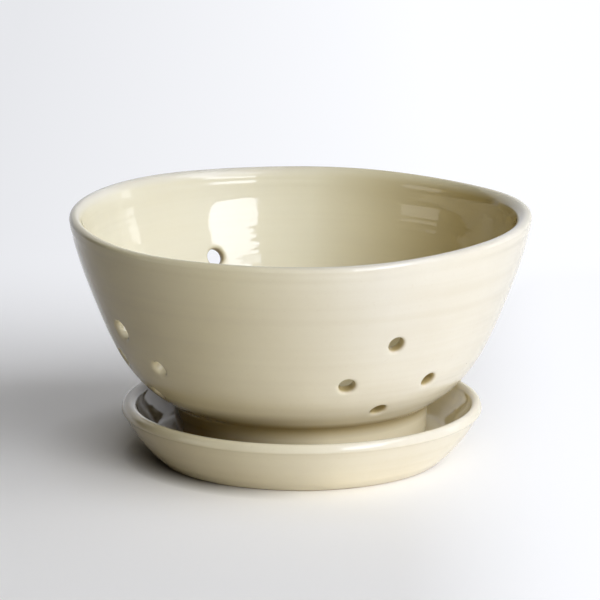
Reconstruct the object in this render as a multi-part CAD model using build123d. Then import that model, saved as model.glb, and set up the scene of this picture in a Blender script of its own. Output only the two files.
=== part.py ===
from build123d import *
import os
from math import cos, radians, sin

# Berry colander bowl: a thrown stoneware bowl with drain holes, standing in its own drip saucer.
# Millimetres, +Z up. The origin is on the table, at the middle of the saucer's base.

# Saucer: a shallow flared dish with a rolled lip and a flat base
saucer_reach = 64.3
saucer_height = 19.9
saucer_roll = 2.3
saucer_crease = 0.15
saucer_crease_angle = 30
saucer_base_reach = 51.3
saucer_base_edge = 0.6
saucer_floor = 6.5
saucer_wall = 4.2
saucer_belly = 1.1
saucer_well_fillet = 4.0

# Bowl: the foot ring, with heights counted from where the bowl stands
foot_reach = 44.6
foot_height = 13.5
foot_ring_width = 6.4
foot_flare = 0.9
foot_edge = 0.9
foot_recess = 7.5
foot_recess_fillet = 2.0
foot_fillet = 1.6

# Bowl: floor, wall and rim
rim_reach = 82.5
rim_height = 81.3
rim_round = 2.1
bowl_wall = 4.3
bowl_floor = 6.0
shoulder_reach = 47.4
shoulder_height = 15.0
inside_floor_reach = 22.0
inside_floor_rise = 0.6

# The outer wall's curve, as shares of the way from the shoulder out to the rim, and up to it.
# Its last point is above the rim, in clay that is cut away.
wall_shares = [
    (0.205, 0.075), (0.362, 0.160), (0.496, 0.266), (0.607, 0.382), (0.787, 0.623), (0.908, 0.808),
    (1.000, 1.000), (1.072, 1.120),
]
# How far along the outer curve the inner face is measured off it
inner_face_shares = [0.14, 0.27, 0.40, 0.54, 0.68, 0.80, 0.90]

# The rim is a little uneven, as hands left it: it twists by this much up and down, and leans by this much
rim_twist = 1.08
rim_twist_turn = 99.0
rim_lean = 0.35
rim_lean_turn = 165.0

# Drain holes: a diamond of four in each quarter of the wall, and a ring round one in the floor
drain_reach = 3.1
drain_soft_edge = 0.9
drain_top = 49.3
drain_side = 34.3
drain_bottom = 22.4
drain_spread = 14.2
cluster_count = 4
cluster_start = 28.0
floor_drain_circle = 16.5
floor_drain_count = 6

# Lengths that only serve the modelling: how far a cutter runs past a face, and how closely edges are matched
overrun = 5.0
match = 0.01
halvings = 40

# The bowl stands on the saucer's floor, flat face to flat face
bowl_base = saucer_floor


def at(reach, height):
    """A point of an outline, at a radius and a height."""
    return Vector(reach, 0, height)


def inward(edge, share):
    """The direction square to an outer outline, into the clay."""
    along = edge % share
    return Vector(-along.Z, 0, along.X)


def turn(*edges):
    """Turn a closed outline once round the axis."""
    return revolve(make_face(Wire(list(edges))), Axis.Z)


def circles(solid, reach, height):
    """The round edges of a solid at one radius and height."""
    found = solid.edges().filter_by(GeomType.CIRCLE)
    return [e for e in found if abs(e.radius - reach) < match and abs(e.arc_center.Z - height) < match]


def make_saucer():
    """The drip saucer: a flared dish, with a rolled lip that stands a little proud of its wall."""
    lip = at(saucer_reach - saucer_roll, saucer_height - saucer_roll)
    meets = saucer_roll - saucer_crease
    fall = radians(saucer_crease_angle)
    foot = at(saucer_base_reach, 0)
    crease = lip + at(meets * cos(fall), -meets * sin(fall))
    lip_in = lip - at(meets, 0)
    chord = Line(foot, crease)
    outer = ThreePointArc(foot, chord @ 0.5 - inward(chord, 0.5) * saucer_belly, crease)
    half_way = outer @ 0.5 + inward(outer, 0.5) * saucer_wall
    slope = (lip_in.X - half_way.X) / (lip_in.Z - half_way.Z)
    toe = at(half_way.X - (half_way.Z - saucer_floor) * slope, saucer_floor)
    dish = turn(
        Line(at(0, 0), foot),
        outer,
        Line(crease, lip_in),
        Line(lip_in, toe),
        Line(toe, at(0, saucer_floor)),
        Line(at(0, saucer_floor), at(0, 0)),
    )
    dish = fillet(circles(dish, toe.X, saucer_floor), saucer_well_fillet)
    dish = fillet(circles(dish, saucer_base_reach, 0), saucer_base_edge)
    return dish + Pos(0, 0, lip.Z) * Torus(lip.X, saucer_roll)


def outer_curve():
    """The bowl's outer wall, from the shoulder over the foot to a little above the rim."""
    low = at(shoulder_reach, bowl_base + shoulder_height)
    high = at(rim_reach, bowl_base + rim_height - rim_round)
    way = [at(low.X + (high.X - low.X) * out, low.Z + (high.Z - low.Z) * up) for out, up in wall_shares]
    return Spline(low, *way)


def inner_curve(outer):
    """The bowl's inner face: one smooth line from the middle of the floor to the top of the wall."""
    off_wall = [outer @ share + inward(outer, share) * bowl_wall for share in inner_face_shares]
    middle = at(0, bowl_base + foot_recess + bowl_floor)
    turn_up = at(inside_floor_reach, middle.Z + inside_floor_rise)
    top = outer @ 1 + inward(outer, 1) * bowl_wall
    return Spline(middle, turn_up, *off_wall, top, tangents=[at(1, 0), outer % 1])


def make_turned_bowl(outer, inner):
    """Foot ring, floor and wall as turned, with the wall still taller than the rim."""
    foot_top = at(foot_reach + foot_flare, bowl_base + foot_height)
    foot_low = at(foot_reach, bowl_base)
    ring_low = at(foot_reach - foot_ring_width, bowl_base)
    ring_top = at(ring_low.X + foot_flare, bowl_base + foot_recess)
    bowl = turn(
        inner,
        Line(inner @ 1, outer @ 1),
        outer,
        Line(outer @ 0, foot_top),
        Line(foot_top, foot_low),
        Line(foot_low, ring_low),
        Line(ring_low, ring_top),
        Line(ring_top, at(0, ring_top.Z)),
        Line(at(0, ring_top.Z), inner @ 0),
    )
    bowl = fillet(circles(bowl, ring_top.X, ring_top.Z), foot_recess_fillet)
    bowl = fillet(circles(bowl, foot_top.X, foot_top.Z), foot_fillet)
    return fillet(circles(bowl, foot_low.X, bowl_base) + circles(bowl, ring_low.X, bowl_base), foot_edge)


def trim_rim(bowl):
    """Cut the tall wall along a slightly twisted and leaning face, and round both edges into a lip."""
    side = rim_reach + overrun
    lean_turn = radians(rim_lean_turn - rim_twist_turn)

    def corner(x_sign, y_sign):
        twist = 2 * rim_twist * x_sign * y_sign * (side / rim_reach) ** 2
        lean = rim_lean * (x_sign * cos(lean_turn) + y_sign * sin(lean_turn)) * side / rim_reach
        return Vector(x_sign * side, y_sign * side, bowl_base + rim_height + twist + lean)

    face = Face.make_bezier_surface([[corner(-1, -1), corner(1, -1)], [corner(-1, 1), corner(1, 1)]])
    bowl -= Rot(0, 0, rim_twist_turn) * extrude(face, rim_height, dir=(0, 0, 1))
    edges = [e for e in bowl.edges() if e.is_closed and e.center().Z > bowl_base + rim_height - rim_round]
    return fillet(edges, rim_round)


def soft_mouth(height, side):
    """The rounded mouth of a drain hole at a height: side is 1 where it opens upwards, and -1 downwards."""
    mouth = drain_reach + drain_soft_edge
    bend = drain_soft_edge * (1 - cos(radians(45)))
    bore_end = at(drain_reach, height - side * drain_soft_edge)
    return ThreePointArc(bore_end, at(drain_reach + bend, height - side * bend), at(mouth, height))


def drain_cutter(depth, dip):
    """A hole with softened mouths: the outer mouth at height zero, the inner one a little past the depth."""
    inside = soft_mouth(-depth - dip, -1)
    outside = soft_mouth(0, 1)
    below = inside @ 1 - at(0, overrun)
    above = outside @ 1 + at(0, overrun)
    return turn(
        outside,
        Line(outside @ 1, above),
        Line(above, at(0, above.Z)),
        Line(at(0, above.Z), at(0, below.Z)),
        Line(at(0, below.Z), below),
        Line(below, inside @ 1),
        inside,
        Line(inside @ 0, outside @ 0),
    )


def height_share(outer, height):
    """How far along the outer curve a height is reached."""
    low, high = 0.0, 1.0
    for _ in range(halvings):
        half = (low + high) / 2
        low, high = (half, high) if (outer @ half).Z < height else (low, half)
    return low


def wall_drain(outer, inner, height):
    """A drain hole square to the wall at a height, in the outline's plane."""
    share = height_share(outer, bowl_base + height)
    mouth = outer @ share
    depth = inner.distance_to(mouth)
    dip = (drain_reach + drain_soft_edge) ** 2 / 2 / (mouth.X - depth)
    return Plane(origin=mouth, x_dir=(0, 1, 0), z_dir=-inward(outer, share)) * drain_cutter(depth, dip)


def drains(outer, inner):
    """All the drain holes: a diamond of four in each quarter of the wall, and those in the floor."""
    top, side, bottom = [wall_drain(outer, inner, height) for height in (drain_top, drain_side, drain_bottom)]
    holes = []
    for turned in range(cluster_count):
        middle = cluster_start + turned * 360 / cluster_count
        holes += [Rot(0, 0, middle) * top, Rot(0, 0, middle) * bottom]
        holes += [Rot(0, 0, middle - drain_spread) * side, Rot(0, 0, middle + drain_spread) * side]
    recess = bowl_base + foot_recess
    floor_hole = Plane(origin=(0, 0, recess), z_dir=(0, 0, -1)) * drain_cutter(bowl_floor, 0)
    beside = Pos(floor_drain_circle, 0, 0) * floor_hole
    holes.append(floor_hole)
    for turned in range(floor_drain_count):
        holes.append(Rot(0, 0, cluster_start + turned * 360 / floor_drain_count) * beside)
    return holes


def make_bowl():
    """The colander bowl, in one piece with its foot ring."""
    outer = outer_curve()
    inner = inner_curve(outer)
    return trim_rim(make_turned_bowl(outer, inner)) - drains(outer, inner)


os.makedirs("parts", exist_ok=True)
export_step(make_saucer(), "parts/saucer.step")
export_step(make_bowl(), "parts/colander_bowl.step")
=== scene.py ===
import math

import bmesh
import bpy
import numpy
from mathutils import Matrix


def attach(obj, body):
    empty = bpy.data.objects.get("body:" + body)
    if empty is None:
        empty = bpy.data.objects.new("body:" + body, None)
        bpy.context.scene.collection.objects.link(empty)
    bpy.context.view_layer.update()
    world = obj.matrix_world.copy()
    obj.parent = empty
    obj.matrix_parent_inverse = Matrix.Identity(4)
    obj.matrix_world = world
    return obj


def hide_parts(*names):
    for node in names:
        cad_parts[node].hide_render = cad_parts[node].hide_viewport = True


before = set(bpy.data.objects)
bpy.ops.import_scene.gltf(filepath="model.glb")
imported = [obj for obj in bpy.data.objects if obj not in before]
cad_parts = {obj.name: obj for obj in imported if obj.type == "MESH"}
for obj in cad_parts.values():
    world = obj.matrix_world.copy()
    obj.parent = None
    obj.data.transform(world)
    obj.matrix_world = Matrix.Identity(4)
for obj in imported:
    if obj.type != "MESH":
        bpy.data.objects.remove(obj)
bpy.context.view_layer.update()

# The drip saucer catches what drains out of the bowl. It is stoneware thrown
# on a wheel, with a flat base, straight flaring walls and a rolled lip. It is
# glazed cream all over but for the underside and a thin line round its edge.

MM = 0.001


def noise_layer(nodes, links, scale, detail=2.0, stretch=(1.0, 1.0, 1.0), seed=0.0):
    """A noise pattern in metres on the piece, drawn out along an axis by stretch."""
    place = nodes.new("ShaderNodeTexCoord")
    turn = nodes.new("ShaderNodeMapping")
    turn.inputs["Scale"].default_value = stretch
    turn.inputs["Location"].default_value = (seed, seed * 0.7, seed * 1.3)
    noise = nodes.new("ShaderNodeTexNoise")
    noise.inputs["Scale"].default_value = scale
    noise.inputs["Detail"].default_value = detail
    links.new(place.outputs["Object"], turn.inputs["Vector"])
    links.new(turn.outputs["Vector"], noise.inputs["Vector"])
    return noise.outputs["Fac"]


def between(nodes, links, value, low, high, out_low, out_high, soft=False):
    """Spreads the part of a pattern between low and high over out_low to out_high."""
    spread = nodes.new("ShaderNodeMapRange")
    spread.interpolation_type = "SMOOTHSTEP" if soft else "LINEAR"
    spread.inputs["From Min"].default_value = low
    spread.inputs["From Max"].default_value = high
    spread.inputs["To Min"].default_value = out_low
    spread.inputs["To Max"].default_value = out_high
    links.new(value, spread.inputs["Value"])
    return spread.outputs["Result"]


def split(nodes, links, place):
    """The X, Y and Z of a place."""
    parts = nodes.new("ShaderNodeSeparateXYZ")
    links.new(place, parts.inputs["Vector"])
    return parts.outputs["X"], parts.outputs["Y"], parts.outputs["Z"]


def tint(nodes, links, share, under, over):
    """One colour over another, by the share that a pattern gives."""
    mix = nodes.new("ShaderNodeMix")
    mix.data_type = "RGBA"
    for socket, colour in ((mix.inputs["A"], under), (mix.inputs["B"], over)):
        if isinstance(colour, tuple):
            socket.default_value = colour + (1.0,)
        else:
            links.new(colour, socket)
    links.new(share, mix.inputs["Factor"])
    return mix.outputs["Result"]


def times(nodes, links, one, other):
    """The product of two patterns."""
    product = nodes.new("ShaderNodeMath")
    product.operation = "MULTIPLY"
    links.new(one, product.inputs[0])
    links.new(other, product.inputs[1])
    return product.outputs["Value"]


def raised(nodes, links, pattern, strength, height):
    """A bump whose height in metres follows a pattern."""
    bump = nodes.new("ShaderNodeBump")
    bump.inputs["Strength"].default_value = strength
    bump.inputs["Distance"].default_value = height
    links.new(pattern, bump.inputs["Height"])
    return bump


def pooled_with_painted_shading(nodes, links, colour, place, turned, pool):
    """The bowl's glaze: thick in the crease over the foot, with painted shade: golden and darker inside at
    the right, dark brown low on the outside at the left and a dark band in the crease; the bores get painted
    light and shade. The piece's own attributes tell the inside and the bores."""
    inner_cream, shaded_inside_gold, thick_cream = (0.86, 0.795, 0.53), (0.56, 0.43, 0.17), (0.76, 0.65, 0.39)
    shaded_brown, crease_shade_brown = (0.115, 0.064, 0.005), (0.38, 0.27, 0.08)
    bore_shade_gold, bore_lit_cream = (0.48, 0.37, 0.15), (0.99, 0.91, 0.65)
    x, z = place
    within = nodes.new("ShaderNodeAttribute")
    within.attribute_name = "within"
    inside = within.outputs["Fac"]
    colour = tint(nodes, links, between(nodes, links, inside, 0.0, 1.0, 0.0, 0.55), colour, inner_cream)
    # Painted shade: the inside at the right, which faces away from the light, is a darker gold.
    right = between(nodes, links, x, 0.004, 0.062, 0.0, 1.0)
    colour = tint(nodes, links, times(nodes, links, right, inside), colour, shaded_inside_gold)
    thick = between(nodes, links, z, (pool + 8.0) * MM, pool * MM, 0.0, 0.5)
    colour = tint(nodes, links, thick, colour, thick_cream)
    outer = between(nodes, links, inside, 0.0, 1.0, 1.0, 0.0)
    # Painted shade: low on the outside, dark brown towards the left.
    left = between(nodes, links, x, 0.01, -0.035, 0.0, 1.95)
    shade = times(nodes, links, times(nodes, links, thick, left), outer)
    colour = tint(nodes, links, shade, colour, shaded_brown)
    # Painted shade: a dark golden band in the crease between the wall and the foot.
    low = between(nodes, links, z, (pool - 4.5) * MM, (pool - 0.8) * MM, 0.0, 1.0)
    high = between(nodes, links, z, (pool + 3.0) * MM, (pool + 0.3) * MM, 0.0, 0.7)
    crease = times(nodes, links, times(nodes, links, low, high), outer)
    colour = tint(nodes, links, crease, colour, crease_shade_brown)
    # Painted light and shade in the bores: pale cream where x times y is above nought, at the front left and
    # back right, and dark gold at the others.
    bored = nodes.new("ShaderNodeAttribute")
    bored.attribute_name = "bored"
    side = between(nodes, links, turned, -0.0005, 0.0008, 0.0, 1.0)
    return tint(nodes, links, bored.outputs["Fac"], colour, tint(nodes, links, side, bore_shade_gold, bore_lit_cream))


def cream_glaze(name, seed, pool=None):
    """Glossy cream glaze: cloudy, with a few iron specks and the rings left by throwing, and yellower on two
    opposite sides as painted shade. Where it pools, below a height given in mm, it is thicker and yellower,
    and the bowl's painted shade is added; without it, painted shade darkens the left end."""
    pale_cream, shaded_side_cream = (0.80, 0.75, 0.605), (0.78, 0.695, 0.43)
    cloud_tan, streak_tan, grain_tan = (0.60, 0.50, 0.30), (0.66, 0.575, 0.38), (0.60, 0.50, 0.31)
    iron_brown = (0.16, 0.10, 0.06)
    glaze = bpy.data.materials.new(name)
    glaze.use_nodes = True
    nodes, links = glaze.node_tree.nodes, glaze.node_tree.links
    shader = nodes["Principled BSDF"]

    # Painted shade: the front left and the back right, whose outside and inside stand in shade, are yellower;
    # the share is the sine of twice the turn.
    place = nodes.new("ShaderNodeTexCoord").outputs["Object"]
    x, y, z = split(nodes, links, place)
    turned = times(nodes, links, x, y)
    shaded_sides = between(nodes, links, turned, -0.0022, 0.0022, 0.0, 1.0)
    colour = tint(nodes, links, shaded_sides, pale_cream, shaded_side_cream)
    clouds = noise_layer(nodes, links, 38.0, 3.0, seed=seed)
    colour = tint(nodes, links, between(nodes, links, clouds, 0.35, 0.65, 0.12, 0.0), colour, cloud_tan)
    streaks = noise_layer(nodes, links, 1.0, 3.0, stretch=(9.0, 9.0, 330.0), seed=seed + 5.0)
    colour = tint(nodes, links, between(nodes, links, streaks, 0.45, 0.68, 0.0, 0.14), colour, streak_tan)
    grain = noise_layer(nodes, links, 900.0, 2.0, seed=seed)
    colour = tint(nodes, links, between(nodes, links, grain, 0.62, 0.75, 0.0, 0.10), colour, grain_tan)
    if pool:
        colour = pooled_with_painted_shading(nodes, links, colour, (x, z), turned, pool)
    else:
        # Painted shade: darker and browner towards the saucer's left end.
        left = between(nodes, links, x, -0.036, -0.062, 0.0, 0.42)
        colour = tint(nodes, links, left, colour, (0.40, 0.30, 0.13))

    # Few of the cells hold a speck of iron, each in its middle.
    specks = nodes.new("ShaderNodeTexVoronoi")
    specks.inputs["Scale"].default_value = 120.0
    links.new(place, specks.inputs["Vector"])
    pick = nodes.new("ShaderNodeSeparateColor")
    links.new(specks.outputs["Color"], pick.inputs["Color"])
    near = between(nodes, links, specks.outputs["Distance"], 0.035, 0.055, 1.0, 0.0)
    chosen = between(nodes, links, pick.outputs["Red"], 0.955, 0.96, 0.0, 0.75)
    colour = tint(nodes, links, times(nodes, links, near, chosen), colour, iron_brown)
    links.new(colour, shader.inputs["Base Color"])

    gloss = noise_layer(nodes, links, 60.0, 2.0, seed=seed + 3.0)
    links.new(between(nodes, links, gloss, 0.3, 0.7, 0.035, 0.075), shader.inputs["Roughness"])

    # Rings left by the potter's fingers, and the faint orange peel of the glaze.
    ring_height, peel_height = 0.28 * MM, 0.13 * MM
    rings = noise_layer(nodes, links, 1.0, 2.0, stretch=(6.0, 6.0, 170.0), seed=seed)
    peel = noise_layer(nodes, links, 170.0, 2.0, seed=seed)
    ring_bump = raised(nodes, links, rings, 0.9, ring_height)
    peel_bump = raised(nodes, links, peel, 0.35, peel_height)
    links.new(ring_bump.outputs["Normal"], peel_bump.inputs["Normal"])
    links.new(peel_bump.outputs["Normal"], shader.inputs["Normal"])
    return glaze


def bare_clay(name, seed):
    """Fired clay without glaze: dry, pinkish tan and gritty."""
    clay_tan, clay_pale, grit_brown = (0.60, 0.41, 0.23), (0.68, 0.50, 0.31), (0.36, 0.24, 0.16)
    grit_height = 0.15 * MM
    clay = bpy.data.materials.new(name)
    clay.use_nodes = True
    nodes, links = clay.node_tree.nodes, clay.node_tree.links
    shader = nodes["Principled BSDF"]
    clouds = noise_layer(nodes, links, 90.0, 3.0, seed=seed)
    colour = tint(nodes, links, between(nodes, links, clouds, 0.35, 0.65, 0.0, 1.0), clay_tan, clay_pale)
    grit = noise_layer(nodes, links, 1400.0, 2.0, seed=seed)
    colour = tint(nodes, links, between(nodes, links, grit, 0.6, 0.72, 0.0, 0.5), colour, grit_brown)
    links.new(colour, shader.inputs["Base Color"])
    shader.inputs["Roughness"].default_value = 0.85
    bump = raised(nodes, links, noise_layer(nodes, links, 1100.0, 3.0, seed=seed), 0.5, grit_height)
    links.new(bump.outputs["Normal"], shader.inputs["Normal"])
    return clay


def throw(outline, columns, start=0.0, closed=False):
    """Turns an outline of (reach, height) in mm round the axis, as a wheel does, and
    keeps on each vertex the number of the outline's point that it came from."""
    bm = bmesh.new()
    row = bm.verts.layers.int.new("row")
    points = []
    for number, (reach, height) in enumerate(outline):
        angle = math.radians(start)
        point = bm.verts.new((reach * MM * math.cos(angle), reach * MM * math.sin(angle), height * MM))
        point[row] = number
        points.append(point)
    edges = [bm.edges.new(pair) for pair in zip(points, points[1:])]
    if closed:
        edges.append(bm.edges.new((points[-1], points[0])))
    bmesh.ops.spin(bm, geom=points + edges, axis=(0, 0, 1), cent=(0, 0, 0), angle=2 * math.pi,
                   steps=columns, use_merge=True)
    bmesh.ops.remove_doubles(bm, verts=bm.verts[:], dist=0.01 * MM)
    bmesh.ops.recalc_face_normals(bm, faces=bm.faces[:])
    return bm


def hand_over(bm, name, node, body, finishes):
    """Makes the mesh an object of the scene that stands for its CAD node."""
    mesh = bpy.data.meshes.new(name)
    bm.to_mesh(mesh)
    bm.free()
    piece = bpy.data.objects.new(name, mesh)
    bpy.context.scene.collection.objects.link(piece)
    for face in mesh.polygons:
        face.use_smooth = True
    for finish in finishes:
        mesh.materials.append(finish)
    smooth = piece.modifiers.new("soft_glaze", "SUBSURF")
    smooth.levels = smooth.render_levels = 1
    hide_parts(node)
    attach(piece, body)


saucer_base = 51.3
saucer_lip_at = (62.0, 17.6)
saucer_roll = 2.3
saucer_facet = 2.09
saucer_floor = 6.5
saucer_toe = 52.6
saucer_belly = 1.1
saucer_columns = 144
crease_angle = 30.0
crease_depth = 0.4

# The saucer's outline as (reach, height): the base, the outside of the wall, the lip, the well.
saucer = [(0.0, 0.0), (6.0, 0.0), (20.0, 0.0), (34.0, 0.0), (44.0, 0.0), (49.0, 0.0),
          (saucer_base - 0.5, 0.0), (saucer_base, 0.2), (saucer_base + 0.3, 0.65)]
clay_rows = len(saucer) - 2
crease = (saucer_lip_at[0] + (saucer_roll - crease_depth) * math.cos(math.radians(crease_angle)),
          saucer_lip_at[1] - (saucer_roll - crease_depth) * math.sin(math.radians(crease_angle)))
foot_of_wall = saucer[-1]
run = (crease[0] - foot_of_wall[0], crease[1] - foot_of_wall[1])
length = math.hypot(*run)
wall_steps = 9
for step in range(1, wall_steps):
    share = step / wall_steps
    bulge = 4 * saucer_belly * share * (1 - share)
    saucer.append((foot_of_wall[0] + share * run[0] + bulge * run[1] / length,
                   foot_of_wall[1] + share * run[1] - bulge * run[0] / length))
saucer.append(crease)
lip_angles = (-20, -6, 20, 46, 64, 82, 100, 120, 140, 160, 180)
crest_row = len(saucer) + lip_angles.index(82)
for angle in lip_angles:
    turned = math.radians(angle)
    roll = saucer_facet if angle == 20 else saucer_roll
    saucer.append((saucer_lip_at[0] + roll * math.cos(turned), saucer_lip_at[1] + roll * math.sin(turned)))
inner_top = saucer[-1]
toe_top = (saucer_toe + 1.4, saucer_floor + 2.0)
for share in (0.22, 0.48, 0.74, 1.0):
    saucer.append((inner_top[0] + share * (toe_top[0] - inner_top[0]),
                   inner_top[1] + share * (toe_top[1] - inner_top[1])))
saucer += [(saucer_toe + 0.75, saucer_floor + 1.0), (saucer_toe, saucer_floor + 0.4),
           (saucer_toe - 1.0, saucer_floor + 0.08)]
saucer += [(reach, saucer_floor) for reach in (saucer_toe - 2.6, 44.0, 36.0, 24.0, 12.0, 4.0, 0.0)]

bm = throw(saucer, saucer_columns)
row = bm.verts.layers.int.get("row")
for face in bm.faces:
    if max(vert[row] for vert in face.verts) <= clay_rows:
        face.material_index = 1
# The lip is drawn a little to the right, and is thicker at the left.
lip_draw = 0.35
well_draw = 1.0
for vert in bm.verts:
    turned = math.atan2(vert.co.y, vert.co.x)
    reach, height = math.hypot(vert.co.x, vert.co.y) / MM, vert.co.z / MM
    outside = lip_draw * (1 + math.cos(turned)) * height / saucer_lip_at[1]
    rise = max(0.0, height - saucer_floor) / (saucer_lip_at[1] - saucer_floor)
    inside = well_draw * math.cos(turned) * rise
    across = min(1.0, max(0.0, (vert[row] - crest_row) / 4))
    move = outside + (inside - outside) * across
    vert.co.x *= 1.0 + move / max(reach, 1.0)
    vert.co.y *= 1.0 + move / max(reach, 1.0)
hand_over(bm, "drip_saucer", "saucer", "saucer",
          [cream_glaze("saucer_cream_glaze", 1.0), bare_clay("saucer_bare_clay", 4.0)])

# The colander bowl is thrown in the same clay, with a foot ring that stands in
# the saucer. Four groups of four holes are bored through its wall and seven
# through its floor while it is leather hard, and the glaze rounds their edges.

bowl_columns = 156
first_column = 28.0
bowl_base = 6.5
bowl_wall = 4.3
floor_top = 20.0
recess_top = 14.0
# The outside of the wall as (reach, height), nine points at even steps up the wall.
wall_points = [(47.4, 21.5), (55.15, 26.78), (61.56, 33.63), (66.51, 41.61), (70.52, 50.11),
               (74.01, 58.84), (77.35, 67.63), (80.17, 76.59), (82.35, 85.7)]
wall_length = 75.2
wall_rows = 28
row_step = wall_length / wall_rows

steps = numpy.linspace(0.0, 1.0, len(wall_points))
reach_curve = numpy.polyfit(steps, [point[0] for point in wall_points], 7)
height_curve = numpy.polyfit(steps, [point[1] for point in wall_points], 7)
reach_slope, height_slope = numpy.polyder(reach_curve), numpy.polyder(height_curve)


def wall_point(along, depth):
    """(reach, height) at a distance up the wall and a depth into it, in mm."""
    share = along / wall_length
    out, up = numpy.polyval(reach_slope, share), numpy.polyval(height_slope, share)
    size = math.hypot(out, up)
    return (float(numpy.polyval(reach_curve, share) - depth * up / size),
            float(numpy.polyval(height_curve, share) + depth * out / size))


drain_rings = [(4.35, 0.03), (3.75, 0.22), (3.35, 0.60), (3.18, 1.15)]
# The share of the bores' painted light and shade at each ring of a hole's mouth.
drain_painted_share = (0.0, 0.15, 0.55, 0.95)
drain_clear = 5.2
floor_drain_reach = 16.5
floor_rise, floor_rise_reach = 0.6, 22.7
floor_rows = [7.5] + [floor_drain_reach + 1.55 * k for k in range(-4, 5)]

# The bowl's outline as (reach, height): the ceiling of the foot, the foot ring, the outside
# of the wall, the lip, the inside of the wall and the floor. The centre drain joins its ends.

bowl = [(reach, recess_top + depth) for reach, depth in reversed(drain_rings)]
bowl.append((drain_clear, recess_top))
ceiling_first = len(bowl)
bowl += [(reach, recess_top) for reach in floor_rows]
bowl += [(26.0, recess_top), (30.0, recess_top), (33.8, recess_top), (36.4, recess_top),
         (37.6, 13.72), (38.35, 13.0), (38.57, 11.9), (38.46, 10.2), (38.3, 8.4), (38.28, 7.35)]
foot_first = len(bowl)
bowl += [(38.5, 6.78), (39.05, 6.5), (40.6, 6.5), (42.3, 6.5), (43.8, 6.5), (44.4, 6.78)]
foot_last = len(bowl)
bowl += [(44.68, 7.35), (44.8, 9.4), (44.95, 12.0), (45.12, 14.8), (45.3, 17.4), (45.45, 19.2),
         (45.75, 20.3), (46.4, 20.95)]
wall_first = len(bowl)
bowl += [wall_point(row_step * k, 0.0) for k in range(wall_rows - 2)]
bowl += [wall_point(wall_length - below, depth) for below, depth in
         ((5.6, 0.0), (4.4, 0.07), (3.5, 0.05), (2.5, -0.08), (1.6, -0.07), (0.8, 0.05), (0.1, 0.13))]
# Outside, the lip is a round roll. Inside, two faint ridges lead from it to the wall.
lip_crown = (80.1, 87.75)
bowl += [(82.28, 86.0), (82.12, 86.5), (81.9, 87.05), (81.3, 87.5), lip_crown]
crown_row = len(bowl) - 1
bowl += [(79.3, 87.42), (78.6, 86.75), (78.05, 85.95), (77.62, 85.2), (77.3, 84.4), (77.25, 83.5),
         (76.86, 82.6), (76.63, 80.9)]
ridge_fill = {crown_row + 4: 0.16, crown_row + 5: 0.2, crown_row + 6: -0.07, crown_row + 7: 0.07}
inner_top_row = wall_rows - 3
inner_first = len(bowl)
bowl += [wall_point(row_step * k, bowl_wall) for k in range(inner_top_row, 0, -1)]
bowl += [(42.3, 24.15), (38.2, 22.75), (34.2, 21.8), (30.2, 21.15), (26.2, 20.75)]
inner_floor_first = len(bowl)
bowl += [(reach, floor_top + floor_rise * (reach / floor_rise_reach) ** 2) for reach in reversed(floor_rows)]
bowl.append((drain_clear, floor_top))
bowl += [(reach, floor_top - depth) for reach, depth in drain_rings]

bm = throw(bowl, bowl_columns, start=first_column, closed=True)
bored = bm.verts.layers.float.new("bored")
within = bm.verts.layers.float.new("within")
row = bm.verts.layers.int.get("row")
for face in bm.faces:
    rows = [vert[row] for vert in face.verts]
    if min(rows) >= foot_first and max(rows) < foot_last:
        face.material_index = 1


def column(vert):
    """How far round the bowl a vertex stands, in columns from the first."""
    turned = math.degrees(math.atan2(vert.co.y, vert.co.x)) - first_column
    return round(turned / 360.0 * bowl_columns) % bowl_columns


on_grid = {(vert[row], column(vert)): vert.co.copy() for vert in bm.verts}


def clear_block(row_at, column_at, half_rows, half_columns):
    """Merges the block of faces round one grid vertex into a single face."""
    inside = []
    for face in bm.faces:
        rows = [vert[row] for vert in face.verts]
        if min(rows) < row_at - half_rows or max(rows) > row_at + half_rows:
            continue
        offsets = [(column(vert) - column_at + bowl_columns // 2) % bowl_columns - bowl_columns // 2
                   for vert in face.verts]
        if min(offsets) >= -half_columns and max(offsets) <= half_columns:
            inside.append(face)
    return bmesh.ops.dissolve_faces(bm, faces=inside, use_verts=True)["region"][0]


def bore_mouth(face, centre, place):
    """Sinks a merged face step by step into the round, softened mouth of a hole and
    returns the last ring's edges. place gives a vertex from (radius, angle, depth)."""
    ring = sorted(face.verts, key=centre)
    count = len(ring)
    first = sum((centre(vert) - 2 * math.pi * k / count) for k, vert in enumerate(ring)) / count
    angles = {vert: first + 2 * math.pi * k / count for k, vert in enumerate(ring)}
    for vert, angle in angles.items():
        vert.co = place(drain_clear, angle, 0.0)
    # Each ring takes a growing share of the bores' painted light and shade.
    for (radius, depth), glazed in zip(drain_rings, drain_painted_share):
        before = dict(angles)
        bmesh.ops.inset_individual(bm, faces=[face], thickness=0.05 * MM, use_even_offset=False)
        angles = {}
        for vert in face.verts:
            around = [edge.other_vert(vert) for edge in vert.link_edges]
            angles[vert] = next(before[other] for other in around if other in before)
        for vert, angle in angles.items():
            vert.co = place(radius, angle, depth)
            vert[bored] = glazed
    edges = list(face.edges)
    bmesh.ops.delete(bm, geom=[face], context="FACES_ONLY")
    return edges


def bore(outer, inner):
    """Opens one hole between its outer and inner mouths, given as (block, place)."""
    loops = []
    for (row_at, column_at, half_rows, half_columns), place in (outer, inner):
        face = clear_block(row_at, column_at, half_rows, half_columns)
        middle = on_grid[(row_at, column_at)]
        across = middle.cross((0, 0, 1)).normalized() * -1.0
        up = on_grid[(row_at + 1, column_at)] - middle
        up = up.normalized() * (1.0 if row_at < inner_first else -1.0)

        def centre(vert, middle=middle, across=across, up=up):
            offset = vert.co - middle
            return math.atan2(offset.dot(up), offset.dot(across))

        loops += bore_mouth(face, centre, place)
    bmesh.ops.bridge_loops(bm, edges=loops)


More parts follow.
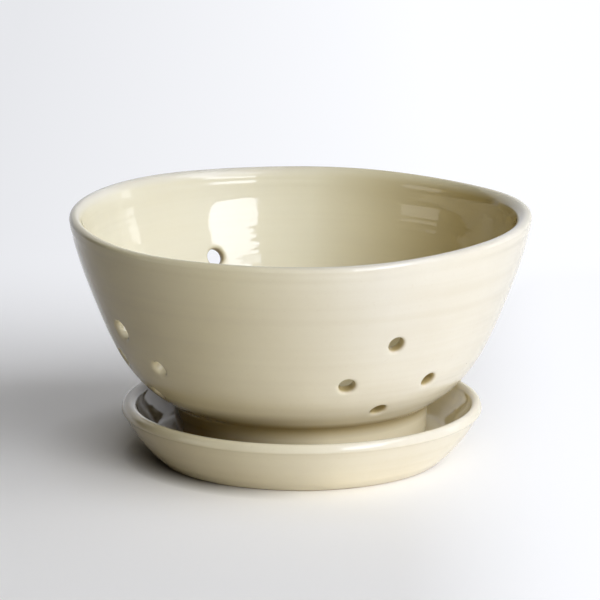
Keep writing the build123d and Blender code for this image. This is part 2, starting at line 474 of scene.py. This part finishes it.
def wall_place(turn, along, size, from_inside):
    """Places the vertices of a wall hole about its centre, at an angle round the bowl."""
    def place(radius, angle, depth):
        radius *= size if radius < drain_clear else 1.0
        depth_in = bowl_wall - depth if from_inside else depth
        reach, height = wall_point(along + radius * math.sin(angle), depth_in)
        turned = math.radians(turn) + radius * math.cos(angle) / reach
        return (reach * math.cos(turned) * MM, reach * math.sin(turned) * MM, height * MM)
    return place


def floor_place(turn, from_inside):
    """Places the vertices of a floor hole about its centre."""
    def place(radius, angle, depth):
        turned = math.radians(turn)
        swing = turned + math.pi / 2 - angle
        x = floor_drain_reach * math.cos(turned) + radius * math.cos(swing)
        y = floor_drain_reach * math.sin(turned) + radius * math.sin(swing)
        dished = floor_top + floor_rise * (math.hypot(x, y) / floor_rise_reach) ** 2
        level = dished - depth if from_inside else recess_top + depth
        return (x * MM, y * MM, level * MM)
    return place


# Each wall hole, bored by eye: its turn round the bowl, its height above the bowl's base and its size.
wall_drains = [(28.0, 49.0, 1.0), (13.9, 34.6, 1.0), (42.1, 33.9, 0.95), (28.4, 22.6, 1.0),
               (116.9, 49.4, 1.0), (104.2, 34.9, 0.95), (132.5, 34.2, 1.0), (118.3, 22.2, 1.0),
               (209.0, 47.4, 1.13), (197.9, 33.9, 1.0), (222.1, 36.0, 0.95), (209.5, 23.1, 0.85),
               (297.2, 49.4, 0.9), (284.1, 34.6, 0.92), (313.4, 32.3, 0.85), (298.2, 22.3, 0.9)]
heights = [wall_point(0.1 * k, 0.0)[1] for k in range(int(wall_length * 10))]
for turn, height, size in wall_drains:
    along = min(range(len(heights)), key=lambda k: abs(heights[k] - bowl_base - height)) * 0.1
    row_at = round(along / row_step)
    column_at = round((turn - first_column) / 360.0 * bowl_columns) % bowl_columns
    inner_row = inner_first + inner_top_row - row_at
    bore(((wall_first + row_at, column_at, 2, 2), wall_place(turn, along, size, False)),
         ((inner_row, column_at, 2, 2), wall_place(turn, along, size, True)))
floor_drains = 6
for number in range(floor_drains):
    turn = first_column + 360.0 * number / floor_drains
    column_at = round(number / floor_drains * bowl_columns)
    bore(((ceiling_first + 5, column_at, 3, 7), floor_place(turn, False)),
         ((inner_floor_first + 4, column_at, 3, 7), floor_place(turn, True)))

# The rim dried a little out of level and out of round, and its lip is thickest at the right.
rim_sway = [(0.37, 0.0), (0.01, 0.05), (0.65, -0.65), (0.13, -0.03), (0.11, -0.12), (0.02, 0.02),
            (0.02, 0.15)]
reach_sway = [(-0.12, 0.0), (-0.08, 0.0), (0.10, 0.0)]
rim_top = 87.8
lip_swell = 1.2
swell_from = 70.0
swell_height = 17.0


def swayed(harmonics, turned):
    """The sum of waves round the bowl, given as (cosine, sine) parts from the mean up."""
    return sum(a * math.cos(k * turned) + b * math.sin(k * turned) for k, (a, b) in enumerate(harmonics))


for vert in bm.verts:
    turned = math.atan2(vert.co.y, vert.co.x)
    reach, height = math.hypot(vert.co.x, vert.co.y) / MM, vert.co.z / MM
    vert[within] = min(1.0, max(0.0, (vert[row] - crown_row - 1) / 4.0))
    share = max(0.0, (height - floor_top) / (rim_top - floor_top))
    move = swayed(reach_sway, turned) * share
    if vert[row] > crown_row and height > swell_from:
        inside = min(1.0, max(0.0, (lip_crown[0] - reach) / 2.0))
        move -= lip_swell * inside * (height - swell_from) / swell_height * math.exp(-(turned / 0.5) ** 2)
    if vert[row] in ridge_fill:
        move += ridge_fill[vert[row]] * (1.0 - math.exp(-((turned - 1.9) / 0.6) ** 2))
    vert.co.x *= 1.0 + move / max(reach, 1.0)
    vert.co.y *= 1.0 + move / max(reach, 1.0)
    vert.co.z += swayed(rim_sway, turned) * share * MM
bmesh.ops.recalc_face_normals(bm, faces=bm.faces[:])
hand_over(bm, "berry_colander_bowl", "colander_bowl", "bowl",
          [cream_glaze("bowl_cream_glaze", 7.0, pool=21.0), bare_clay("bowl_bare_clay", 9.0)])

# The set is a plain pale sweep of paper, lit by a window to the front right and
# by wide soft lights beside it. The camera looks a little down at the object,
# from two metres off.


def set_up(bm, name, finish):
    """Makes the mesh a piece of the set, which is no part of the object."""
    mesh = bpy.data.meshes.new(name)
    bm.to_mesh(mesh)
    bm.free()
    mesh.materials.append(finish)
    piece = bpy.data.objects.new(name, mesh)
    bpy.context.scene.collection.objects.link(piece)
    return piece


def larger(nodes, links, one, other):
    """The larger of two patterns at each point."""
    most = nodes.new("ShaderNodeMath")
    most.operation = "MAXIMUM"
    links.new(one, most.inputs[0])
    links.new(other, most.inputs[1])
    return most.outputs["Value"]


paper_white = bpy.data.materials.new("paper_white")
paper_white.use_nodes = True
nodes, links = paper_white.node_tree.nodes, paper_white.node_tree.links
shader = nodes["Principled BSDF"]
shader.inputs["Roughness"].default_value = 0.9
shader.inputs["Specular IOR Level"].default_value = 0.1
ray = nodes.new("ShaderNodeLightPath")
seen = larger(nodes, links, ray.outputs["Is Camera Ray"], ray.outputs["Is Glossy Ray"])
seen = larger(nodes, links, seen, ray.outputs["Is Transmission Ray"])
place = nodes.new("ShaderNodeTexCoord").outputs["Object"]
x, y, z = split(nodes, links, place)
length = nodes.new("ShaderNodeVectorMath")
length.operation = "LENGTH"
links.new(place, length.inputs[0])
span = length.outputs["Value"]

# Its own colour is white and darker at the far left end, with a painted shadow close under the saucer at the
# left, and the light that it throws back on the object is warmer, and dimmer at the left.
left_bounce, right_bounce = (0.38, 0.325, 0.23), (1.0, 0.95, 0.85)
sheet_white, end_dark, painted_contact_shadow = (0.97, 0.935, 0.83), (0.04, 0.036, 0.03), (0.14, 0.115, 0.075)
bounced = tint(nodes, links, between(nodes, links, x, -0.10, 0.02, 0.0, 1.0), left_bounce, right_bounce)
shown_white = tint(nodes, links, between(nodes, links, x, -2.2, -3.4, 0.0, 1.0), sheet_white, end_dark)
# Painted shadow: dark paper close under the saucer at the left.
contact_shadow_share = times(nodes, links, between(nodes, links, span, 0.064, 0.051, 0.0, 0.9),
              between(nodes, links, x, 0.0, -0.035, 0.0, 1.0))
shown_white = tint(nodes, links, contact_shadow_share, shown_white, painted_contact_shadow)
links.new(tint(nodes, links, seen, bounced, shown_white), shader.inputs["Base Color"])

# Behind the object, round it, at the right and far to the left it shows plain white.
behind = between(nodes, links, y, 0.0, 0.31, 0.0, 1.0, soft=True)
clear = between(nodes, links, span, 0.06, 0.10, 0.0, 0.22)
sunny = between(nodes, links, x, 0.0, 0.105, 0.0, 0.95, soft=True)
beyond = between(nodes, links, x, -0.18, -0.50, 0.0, 0.85, soft=True)
plain = behind
for area in (clear, sunny, beyond):
    plain = larger(nodes, links, plain, area)
glow = nodes.new("ShaderNodeEmission")
glow.inputs["Color"].default_value = (0.92, 0.93, 0.965, 1.0)
near_white = between(nodes, links, x, -0.14, 0.06, 0.87, 1.08)
fading = between(nodes, links, x, -2.2, -3.4, 1.0, 0.03)
links.new(times(nodes, links, near_white, fading), glow.inputs["Strength"])
blend = nodes.new("ShaderNodeMixShader")
links.new(times(nodes, links, seen, plain), blend.inputs["Fac"])
links.new(shader.outputs["BSDF"], blend.inputs[1])
links.new(glow.outputs["Emission"], blend.inputs[2])
links.new(blend.outputs["Shader"], nodes["Material Output"].inputs["Surface"])

sweep_left, sweep_width = -3.5, 9.5
sweep = [(-3.0, 0.0), (1.6, 0.0), (2.1, 0.08), (2.45, 0.3), (2.6, 0.7), (2.65, 2.4)]
bm = bmesh.new()
points = [bm.verts.new((sweep_left, y, z)) for y, z in sweep]
edges = [bm.edges.new(pair) for pair in zip(points, points[1:])]
drawn = bmesh.ops.extrude_edge_only(bm, edges=edges)["geom"]
drawn = [item for item in drawn if isinstance(item, bmesh.types.BMVert)]
bmesh.ops.translate(bm, verts=drawn, vec=(sweep_width, 0, 0))
bmesh.ops.recalc_face_normals(bm, faces=bm.faces[:])
set_up(bm, "paper_sweep", paper_white)

# A dark card to the left, which the camera doesn't see, keeps light off the shaded side.
card_left, card_half, card_height = -0.55, 0.9, 1.1
card_black = bpy.data.materials.new("card_black")
card_black.use_nodes = True
shader = card_black.node_tree.nodes["Principled BSDF"]
shader.inputs["Base Color"].default_value = (0.03, 0.03, 0.03, 1.0)
shader.inputs["Roughness"].default_value = 0.9
bm = bmesh.new()
corners = [bm.verts.new((card_left, y, z)) for y, z in ((-card_half, 0.0), (card_half, 0.0),
                                                        (card_half, card_height), (-card_half, card_height))]
bm.faces.new(corners)
card = set_up(bm, "dark_card", card_black)
card.visible_camera = card.visible_glossy = False


lamp_distance = 2.5
lamp_aim = 0.04
panel_aim = 0.07
window_white = (0.95, 0.99, 1.14)


def in_the_room(azimuth, elevation, aim):
    """A place round the object, azimuth counted in degrees from +X towards +Y and
    elevation from a point at the height of aim."""
    a, e = math.radians(azimuth), math.radians(elevation)
    return (lamp_distance * math.cos(e) * math.cos(a), lamp_distance * math.cos(e) * math.sin(a),
            lamp_distance * math.sin(e) + aim)


def soft_lamp(name, azimuth, elevation, width, height, radiance, mirrored=False):
    """A flat lamp that faces the object. The gloss shows it only if it is mirrored."""
    lamp = bpy.data.lights.new(name, "AREA")
    lamp.shape = "RECTANGLE"
    lamp.size, lamp.size_y = width, height
    lamp.energy = radiance * math.pi * width * height
    lamp.color = window_white
    holder = bpy.data.objects.new(name, lamp)
    holder.location = in_the_room(azimuth, elevation, lamp_aim)
    holder.rotation_euler = (math.pi / 2 - math.radians(elevation), 0.0, math.radians(azimuth) + math.pi / 2)
    holder.visible_glossy = mirrored
    bpy.context.scene.collection.objects.link(holder)


def bright_panel(name, corners, strength, colour, mirrored_only=True):
    """A shining panel in the room, its corners given as (azimuth, elevation) from the object."""
    shine = bpy.data.materials.new(name)
    shine.use_nodes = True
    shader = shine.node_tree.nodes["Principled BSDF"]
    shader.inputs["Base Color"].default_value = (0.0, 0.0, 0.0, 1.0)
    shader.inputs["Emission Color"].default_value = colour + (1.0,)
    shader.inputs["Emission Strength"].default_value = strength
    bm = bmesh.new()
    bm.faces.new([bm.verts.new(in_the_room(azimuth, elevation, panel_aim)) for azimuth, elevation in corners])
    panel = set_up(bm, name, shine)
    panel.visible_camera = False
    panel.visible_diffuse = panel.visible_shadow = not mirrored_only


bright_panel("window", [(-59.0, 13.4), (-42.0, 15.8), (-37.5, 17.5), (-33.5, 20.5), (-32.5, 24.0),
                        (-33.5, 30.0), (-54.0, 30.0), (-63.5, 27.0), (-65.0, 18.0), (-62.5, 14.2)],
             7.0, window_white, mirrored_only=False)
bright_panel("window_top", [(-33.5, 30.3), (-54.0, 30.3), (-63.5, 29.6), (-64.5, 31.0), (-61.0, 36.0),
                            (-36.0, 36.0)], 3.8, window_white, mirrored_only=False)
bright_panel("side_window", [(-36.0, 31.0), (-18.0, 33.0), (-17.0, 42.0), (-36.0, 42.0)], 5.0, window_white)
bright_panel("far_window", [(-172.0, 9.0), (-147.0, 12.0), (-150.0, 20.0), (-175.0, 16.0)], 1.5,
             (1.0, 0.97, 0.95))
bright_panel("door_gap", [(14.0, 3.0), (22.0, 3.0), (24.0, 17.0), (16.0, 17.0)], 2.6, (1.0, 1.0, 1.0))
soft_lamp("window_light", -49.0, 23.5, 1.35, 0.75, 1.8)
soft_lamp("low_light", -28.0, 20.0, 2.0, 1.0, 2.4)
soft_lamp("front_light", -78.0, 36.0, 1.6, 1.2, 3.45)
soft_lamp("side_light", 0.0, 32.0, 1.8, 1.5, 1.3)
soft_lamp("high_light", -32.0, 50.0, 1.9, 0.8, 2.6, mirrored=True)

# The sunlit paper at the front right throws a warm glow up at the saucer.
glow_width, glow_depth, glow_radiance = 0.22, 0.26, 0.13
paper_glow = bpy.data.lights.new("paper_glow", "AREA")
paper_glow.shape = "RECTANGLE"
paper_glow.size, paper_glow.size_y = glow_width, glow_depth
paper_glow.energy = glow_radiance * math.pi * glow_width * glow_depth
paper_glow.color = (1.0, 0.93, 0.80)
holder = bpy.data.objects.new("paper_glow", paper_glow)
holder.location = (0.12, -0.11, 0.002)
holder.rotation_euler = (math.pi, 0.0, 0.0)
holder.visible_camera = holder.visible_glossy = False
bpy.context.scene.collection.objects.link(holder)

# The room is dim and warm near the horizon, and lighter overhead.
world = bpy.data.worlds.new("room")
bpy.context.scene.world = world
world.use_nodes = True
nodes, links = world.node_tree.nodes, world.node_tree.links
room = nodes["Background"]
direction = nodes.new("ShaderNodeTexCoord").outputs["Generated"]
up = between(nodes, links, split(nodes, links, direction)[2], 0.1, 1.0, 0.0, 1.0)
links.new(tint(nodes, links, up, (0.02, 0.018, 0.015), (0.06, 0.057, 0.05)), room.inputs["Color"])
room.inputs["Strength"].default_value = 1.0

tilt = math.radians(13.759)
distance = 2.0
look_height = 56.333 * MM
look_side = -0.28 * MM
camera = bpy.data.cameras.new("camera")
camera.lens = 336.5
camera.sensor_width = 36.0
camera.clip_end = 50.0
view = bpy.data.objects.new("camera", camera)
view.location = (look_side, -distance * math.cos(tilt), look_height + distance * math.sin(tilt))
view.rotation_euler = (math.pi / 2 - tilt, 0.0, 0.0)
bpy.context.scene.collection.objects.link(view)
bpy.context.scene.camera = view
bpy.context.scene.view_settings.view_transform = "Standard"
